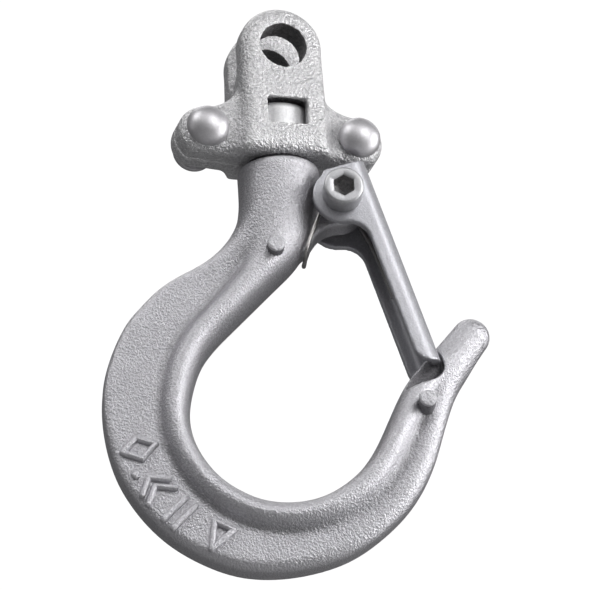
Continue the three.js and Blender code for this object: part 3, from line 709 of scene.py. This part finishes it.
# ---- finishes ----
SWELL_SIZE = 170.0
EVEN_SKIN = 0.12  # hollows and edges fainter than this stay unmarked
TONE_LOW, TONE_HIGH = 0.36, 0.64  # the stretch of the grain's tone that finishes run over
HOLLOW_SHARE, HOLLOW_SHADE = 0.75, 0.3  # painted shade in hollows: how much it darkens them, and how dark it gets
EDGE_SHARE, EDGE_SHADE = 0.3, 1.35  # the same for the painted highlight, which lightens edges
LIGHTEST = 0.95
EYE_REACH, NECK_REACH, UNDERSIDE_REACH = 0.22, 0.8, 1.5  # painted shade, out from each bore


def socket(group, name, kind, way, value=None):
    """A named input or output of a node group, with its value where it has one."""
    s = group.interface.new_socket(name=name, in_out=way, socket_type=kind)
    if value is not None:
        s.default_value = value
    return s


def maths(tree, how, a, b):
    """A Math node on two values, each an output of another node or a plain number."""
    m = tree.nodes.new("ShaderNodeMath")
    m.operation = how
    for k, v in enumerate((a, b)):
        if isinstance(v, float):
            m.inputs[k].default_value = v
        else:
            tree.links.new(v, m.inputs[k])
    return m.outputs[0]


def cast_grain_group():
    """Shared by every finish: the sum of a coarse swell, an orange peel and a fine grit, as
    one height. Tone is the mean of peel and grit. Hollow and Edge are masks from the piece's
    own hollow attribute, and are nothing on a piece that has none."""
    g = bpy.data.node_groups.new("paint_grain", "ShaderNodeTree")
    for name, value in (("Peel Size", 1200.0), ("Grit Size", 4200.0), ("Peel", 1.0),
                        ("Grit", 0.5), ("Swell", 0.5)):
        socket(g, name, "NodeSocketFloat", "INPUT", value)
    for name in ("Height", "Tone", "Hollow", "Edge"):
        socket(g, name, "NodeSocketFloat", "OUTPUT")
    n, l = g.nodes, g.links
    inside, outside = n.new("NodeGroupInput"), n.new("NodeGroupOutput")
    where = n.new("ShaderNodeTexCoord")

    def noise(size, detail, rough):
        """Noise on the piece's own coordinates, its size a number or an input."""
        t = n.new("ShaderNodeTexNoise")
        t.inputs["Detail"].default_value = detail
        t.inputs["Roughness"].default_value = rough
        l.new(where.outputs["Object"], t.inputs["Vector"])
        if isinstance(size, float):
            t.inputs["Scale"].default_value = size
        else:
            l.new(size, t.inputs["Scale"])
        return t.outputs["Fac"]

    peel = noise(inside.outputs["Peel Size"], 2.0, 0.45)
    grit = noise(inside.outputs["Grit Size"], 2.0, 0.6)
    swell = noise(SWELL_SIZE, 1.0, 0.4)
    height = maths(g, "MULTIPLY", peel, inside.outputs["Peel"])
    for layer, share in ((grit, "Grit"), (swell, "Swell")):
        height = maths(g, "ADD", height, maths(g, "MULTIPLY", layer, inside.outputs[share]))
    l.new(height, outside.inputs["Height"])
    both = maths(g, "ADD", maths(g, "MULTIPLY", peel, 0.5), maths(g, "MULTIPLY", grit, 0.5))
    l.new(both, outside.inputs["Tone"])
    # masks for painted shade in hollows and a painted highlight on edges
    kept = n.new("ShaderNodeAttribute")
    kept.attribute_name = "hollow"
    for name, end in (("Hollow", 1.0), ("Edge", -1.0)):
        mask = n.new("ShaderNodeMapRange")
        mask.inputs["From Min"].default_value = EVEN_SKIN * end
        mask.inputs["From Max"].default_value = end
        l.new(kept.outputs["Fac"], mask.inputs["Value"])
        l.new(mask.outputs["Result"], outside.inputs[name])
    return g


def metal_finish(name, low, high, rough, metallic, sizes, depth):
    """A finish of the shared grain: its colour runs from low to high with the grain's tone, with
    painted shade darkening hollows and a painted highlight lightening edges. Its roughness
    falls with the tone from the end of the range rough to its start, and its normal is bumped
    by the grain's height times depth in millimetres. The sizes are the peel's and grit's
    scales, then the share of each layer."""
    m = bpy.data.materials.new(name)
    m.use_nodes = True
    n, l = m.node_tree.nodes, m.node_tree.links
    shader = n["Principled BSDF"]
    shader.inputs["Metallic"].default_value = metallic
    g = n.new("ShaderNodeGroup")
    g.node_tree = grain
    for key, value in zip(("Peel Size", "Grit Size", "Peel", "Grit", "Swell"), sizes):
        g.inputs[key].default_value = value
    ramp = n.new("ShaderNodeMapRange")
    ramp.inputs["From Min"].default_value = TONE_LOW
    ramp.inputs["From Max"].default_value = TONE_HIGH
    l.new(g.outputs["Tone"], ramp.inputs["Value"])
    mix = n.new("ShaderNodeMix")
    mix.data_type = "RGBA"
    mix.inputs["A"].default_value = (*low, 1)
    mix.inputs["B"].default_value = (*high, 1)
    l.new(ramp.outputs["Result"], mix.inputs["Factor"])
    tint = mix
    # painted light: shade painted into hollows and a highlight painted on edges
    dark, light = [HOLLOW_SHADE * c for c in low], [min(EDGE_SHADE * c, LIGHTEST) for c in high]
    for key, share, shade in (("Hollow", HOLLOW_SHARE, dark), ("Edge", EDGE_SHARE, light)):
        part = maths(m.node_tree, "MULTIPLY", g.outputs[key], share)
        painted_light_mix = n.new("ShaderNodeMix")
        painted_light_mix.data_type = "RGBA"
        painted_light_mix.inputs["B"].default_value = (*shade, 1)
        l.new(part, painted_light_mix.inputs["Factor"])
        l.new(tint.outputs["Result"], painted_light_mix.inputs["A"])
        tint = painted_light_mix
    l.new(tint.outputs["Result"], shader.inputs["Base Color"])
    gloss = n.new("ShaderNodeMapRange")
    gloss.inputs["From Min"].default_value = TONE_LOW
    gloss.inputs["From Max"].default_value = TONE_HIGH
    gloss.inputs["To Min"].default_value = rough[1]
    gloss.inputs["To Max"].default_value = rough[0]
    l.new(g.outputs["Tone"], gloss.inputs["Value"])
    l.new(gloss.outputs["Result"], shader.inputs["Roughness"])
    bump = n.new("ShaderNodeBump")
    bump.inputs["Strength"].default_value = 1.0
    bump.inputs["Distance"].default_value = depth * MM
    l.new(g.outputs["Height"], bump.inputs["Height"])
    l.new(bump.outputs["Normal"], shader.inputs["Normal"])
    return m


grain = cast_grain_group()
FORGED_GRAIN = (2600.0, 6000.0, 0.9, 0.5, 0.8)
CAST_GRAIN = (1900.0, 4600.0, 1.0, 0.45, 0.6)
yoke_paint = metal_finish("yoke_silver_paint", (0.54, 0.535, 0.55), (0.86, 0.855, 0.865),
                          (0.30, 0.42), 0.8, CAST_GRAIN, 0.42)
hook_paint = metal_finish("hook_silver_paint", (0.46, 0.45, 0.48), (0.64, 0.635, 0.66),
                          (0.28, 0.40), 0.8, FORGED_GRAIN, 0.19)
latch_steel = metal_finish("latch_blasted_steel", (0.46, 0.46, 0.49), (0.56, 0.56, 0.59),
                           (0.34, 0.44), 0.75, (3400.0, 7000.0, 0.5, 0.4, 0.6), 0.08)
rivet_paint = metal_finish("rivet_satin_paint", (0.58, 0.57, 0.59), (0.65, 0.64, 0.66),
                           (0.40, 0.46), 0.75, (2600.0, 6000.0, 0.3, 0.2, 1.0), 0.04)
bolt_steel = metal_finish("bolt_satin_steel", (0.48, 0.48, 0.495), (0.56, 0.56, 0.575),
                          (0.34, 0.42), 0.8, (2600.0, 6000.0, 0.4, 0.2, 0.6), 0.04)
# painted shade inside the bolt's hexagon socket
socket_shade_paint = metal_finish("bolt_socket_painted_shade", (0.20, 0.195, 0.20), (0.42, 0.415, 0.42),
                           (0.4, 0.55), 0.6, (2600.0, 6000.0, 0.6, 0.3, 0.6), 0.05)
spring_steel = metal_finish("spring_bright_wire", (0.36, 0.35, 0.34), (0.48, 0.47, 0.46),
                            (0.26, 0.36), 0.9, (900.0, 5000.0, 0.3, 0.2, 0.3), 0.02)
# painted shade in the eye and the neck's bore, and a painted shadow on the underside round the
# collar
bore_shade_paint = metal_finish("bore_painted_shade", (0.10, 0.098, 0.10), (0.20, 0.197, 0.20),
                          (0.45, 0.6), 0.5, CAST_GRAIN, 0.2)
# painted shade on the fin's sides in the pocket and round the gauge marks
pocket_shade_paint = metal_finish("pocket_painted_shade", (0.17, 0.165, 0.18), (0.28, 0.275, 0.29),
                            (0.45, 0.6), 0.6, FORGED_GRAIN, 0.2)
head_steel = metal_finish("head_turned_steel", (0.60, 0.60, 0.61), (0.74, 0.74, 0.75),
                          (0.42, 0.5), 0.6, (2600.0, 6000.0, 0.5, 0.3, 0.4), 0.08)


def second_finish(obj, material, pick):
    """Gives a second material to the faces that pick chooses from their middles and normals,
    in millimetres in the row frame."""
    mesh = obj.data
    middle, normal = (np.zeros(len(mesh.polygons) * 3) for _ in range(2))
    mesh.polygons.foreach_get("center", middle)
    mesh.polygons.foreach_get("normal", normal)
    index = np.zeros(len(mesh.polygons), int)
    mesh.polygons.foreach_get("material_index", index)
    mesh.materials.append(material)
    chosen = pick(middle.reshape(-1, 3) / MM, normal.reshape(-1, 3))
    index[chosen] = len(mesh.materials) - 1
    mesh.polygons.foreach_set("material_index", index)


def in_shaded_bores(p, n):
    """The walls of the eye, and the neck's bore with the underside round it: painted shade."""
    eye = (np.hypot(p[:, 0], p[:, 2]) < EYE_R + EYE_REACH) & (np.abs(n[:, 1]) < 0.7)
    low, out = p[:, 2] < -15, np.hypot(p[:, 0], p[:, 1])
    under = low & (n[:, 2] < -0.6) & (out < NECK_R + UNDERSIDE_REACH)
    return eye | under | (low & (out < NECK_R + NECK_REACH))


def in_pocket_shade(p, n):
    """The sides of the nose's fin in the pocket, and the gauge marks' round walls: painted shade.
    """
    c, s = np.cos(-TURN), np.sin(-TURN)
    x, y, z = c * p[:, 0] - s * p[:, 1], s * p[:, 0] + c * p[:, 1], p[:, 2] - EYE_DROP
    u = (x - PIVOT[0]) * np.sin(TILT) - (z - PIVOT[1]) * np.cos(TILT)
    v = (x - PIVOT[0]) * np.cos(TILT) + (z - PIVOT[1]) * np.sin(TILT)
    square = np.abs(s * n[:, 0] + c * n[:, 1]) > 0.8
    flat = (np.abs(np.abs(y) - FIN_T / 2) < 0.2) & square
    chosen = flat & (u > 24) & (u < POCKET_R) & (v < POCKET_V)
    for px, pz, deep in GAUGE_PIPS:
        out = np.hypot(x - px, z - pz)
        chosen |= (y < 0) & (np.abs(out - PIP_R) < 0.03) & (y > -deep - 0.12)
    return chosen


# ---- pieces ----
YOKE_HOLLOW, HOOK_HOLLOW = 0.009 * MM, 0.02 * MM  # offsets that count as fully hollow
front_half = front_yoke_half()
back_half = mirrored("back_yoke_casting", front_half)
finish_piece(front_half, "yoke", "yoke_front_half", yoke_paint)
finish_piece(back_half, "yoke", "yoke_back_half", yoke_paint)
for half in (front_half, back_half):
    mark_hollows(half, YOKE_HOLLOW)
    # painted shade in the bores and under the yoke round the collar
    second_finish(half, bore_shade_paint, in_shaded_bores)
finish_piece(rivet("left_domed_rivet", -RIVET_X), "yoke", "yoke_rivet_left",
             rivet_paint)
finish_piece(rivet("right_domed_rivet", RIVET_X), "yoke", "yoke_rivet_right",
             rivet_paint)
forged_hook = finish_piece(hook_forging(), "hook", "hook_forging", hook_paint)
mark_hollows(forged_hook, HOOK_HOLLOW)
# painted shade in the pocket and round the gauge marks
second_finish(forged_hook, pocket_shade_paint, in_pocket_shade)
second_finish(forged_hook, head_steel, lambda p, n: p[:, 2] > HEAD_Z0 - 2)
finish_piece(latch_sheet(), "latch", "safety_latch", latch_steel)
socket_bolt = finish_piece(bolt(), "latch", "latch_pivot_bolt", bolt_steel)
# the socket's rows take the painted shade
socket_bolt.data.materials.append(socket_shade_paint)
rows_of_face = np.arange(len(socket_bolt.data.polygons)) // BOLT_SIDES
socket_bolt.data.polygons.foreach_set("material_index", np.isin(rows_of_face, SOCKET_ROWS) * 1)
finish_piece(nut(), "latch", "latch_lock_nut", bolt_steel)
wire = finish_piece(spring(), None, "latch_spring", spring_steel)
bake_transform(wire)

# ---- stage, light and camera ----
AZIMUTH, BELOW, ROLL = np.radians([17.0, 24.0, 3.2])
AIM = np.array([1.8006, 0.0, -43.051]) * MM
DISTANCE = 0.7
SENSOR, LENS = 36.0, 256.27


def camera_axes():
    """Right, up and back of a camera seen from the left and below, then rolled."""
    ca, sa, ce, se = np.cos(AZIMUTH), np.sin(AZIMUTH), np.cos(BELOW), np.sin(BELOW)
    right = np.array([ca, -sa, 0])
    up = np.array([-sa * se, -ca * se, ce])
    back = np.array([-sa * ce, -ca * ce, -se])
    c, s = np.cos(ROLL), np.sin(ROLL)
    return c * right - s * up, s * right + c * up, back


def turned_to(axes, place):
    """The matrix of an object with these axes at this place."""
    m = np.eye(4)
    m[:3, :3] = np.stack(axes, 1)
    m[:3, 3] = place
    return [list(row) for row in m]


RIGHT, UP, BACK = camera_axes()
lens = bpy.data.cameras.new("camera")
lens.sensor_width = SENSOR
lens.lens = LENS
lens.clip_start, lens.clip_end = 0.05, 20.0
camera = bpy.data.objects.new("camera", lens)
bpy.context.scene.collection.objects.link(camera)
camera.matrix_world = Matrix(turned_to((RIGHT, UP, BACK), AIM + DISTANCE * BACK))
bpy.context.scene.camera = camera


def soft_light(name, towards, distance, size, power):
    """A square lamp that far from the aim, facing it."""
    lamp = bpy.data.lights.new(name, "AREA")
    lamp.shape, lamp.size, lamp.energy = "SQUARE", size, power
    obj = bpy.data.objects.new(name, lamp)
    bpy.context.scene.collection.objects.link(obj)
    way = Vector(towards[0] * RIGHT + towards[1] * UP + towards[2] * BACK).normalized()
    obj.location = Vector(AIM) + way * distance
    obj.rotation_euler = way.to_track_quat("Z", "Y").to_euler()
    return obj


# name, way to it (right, up and back of the camera), distance, size, power
LAMPS = (
    ("key", (0.7, 0.9, 0.6), 0.5, 0.2, 0.76),
    ("top", (0.1, 1.0, 0.5), 0.6, 0.35, 0.42),
    ("glint", (1.0, 0.45, 0.75), 0.6, 0.12, 0.22),
    ("rim", (-0.6, 1.0, 0.2), 0.7, 0.35, 1.4),
    ("right", (1.0, -0.1, 0.15), 0.7, 0.4, 1.9),
    ("side", (1.0, 0.3, 0.0), 0.7, 0.25, 1.6),
    ("left", (-1.0, 0.3, 0.25), 0.8, 0.5, 0.28),
    ("back left", (-0.3, 0.9, -1.0), 0.8, 0.4, 0.8),
    ("back right", (0.4, 0.6, -1.0), 0.8, 0.4, 0.5),
)
for lamp in LAMPS:
    soft_light(*lamp)

SKY_STRENGTH, WHITE_STRENGTH = 0.135, 1.05
FLOOR_Z, FLOOR_REACH, FLOOR_TILES = -0.36, 8.0, 12
FLOOR_GREY, FLOOR_GLOW = 0.4, 0.7


def studio_world():
    """A dim, faintly blue sky for the light, and plain white where the camera sees it."""
    world = bpy.data.worlds.new("studio")
    world.use_nodes = True
    n, l = world.node_tree.nodes, world.node_tree.links
    sky = n["Background"]
    sky.inputs["Color"].default_value = (0.98, 0.98, 1.0, 1)
    sky.inputs["Strength"].default_value = SKY_STRENGTH
    seen = n.new("ShaderNodeBackground")
    seen.inputs["Color"].default_value = (1, 1, 1, 1)
    seen.inputs["Strength"].default_value = WHITE_STRENGTH
    ray, pick = n.new("ShaderNodeLightPath"), n.new("ShaderNodeMixShader")
    l.new(ray.outputs["Is Camera Ray"], pick.inputs["Fac"])
    l.new(sky.outputs[0], pick.inputs[1])
    l.new(seen.outputs[0], pick.inputs[2])
    l.new(pick.outputs[0], n["World Output"].inputs["Surface"])
    return world


def pale_floor_finish():
    """A matt grey that glows to the camera only, and is clear from below."""
    pale = bpy.data.materials.new("pale_floor")
    pale.use_nodes = True
    n, l = pale.node_tree.nodes, pale.node_tree.links
    matt = n["Principled BSDF"]
    matt.inputs["Base Color"].default_value = (FLOOR_GREY, FLOOR_GREY, FLOOR_GREY, 1)
    matt.inputs["Roughness"].default_value = 0.9
    matt.inputs["Emission Color"].default_value = (1, 1, 1, 1)
    path, facing = n.new("ShaderNodeLightPath"), n.new("ShaderNodeNewGeometry")
    glow = maths(pale.node_tree, "MULTIPLY", path.outputs["Is Camera Ray"], FLOOR_GLOW)
    l.new(glow, matt.inputs["Emission Strength"])
    clear, either = n.new("ShaderNodeBsdfTransparent"), n.new("ShaderNodeMixShader")
    l.new(facing.outputs["Backfacing"], either.inputs["Fac"])
    l.new(matt.outputs[0], either.inputs[1])
    l.new(clear.outputs[0], either.inputs[2])
    l.new(either.outputs[0], n["Material Output"].inputs["Surface"])
    return pale


def pale_floor():
    """A level square of tiles: x and y on an even grid at one height."""
    count = FLOOR_TILES + 1
    line = np.linspace(-FLOOR_REACH, FLOOR_REACH, count)
    x, y = np.meshgrid(line, line, indexing="ij")
    points = np.stack([x, y, np.full_like(x, FLOOR_Z)], -1).reshape(-1, 3)
    i, j = np.arange(FLOOR_TILES)[:, None] * count, np.arange(FLOOR_TILES)[None, :]
    tiles = np.stack([i + j, i + count + j, i + count + 1 + j, i + 1 + j], -1).reshape(-1, 4)
    floor = new_object("floor", points, tiles.tolist())
    floor.data.materials.append(pale_floor_finish())
    return floor


bpy.context.scene.world = studio_world()
pale_floor()

bpy.context.scene.view_settings.view_transform = "Standard"
bpy.context.scene.view_settings.look = "None"
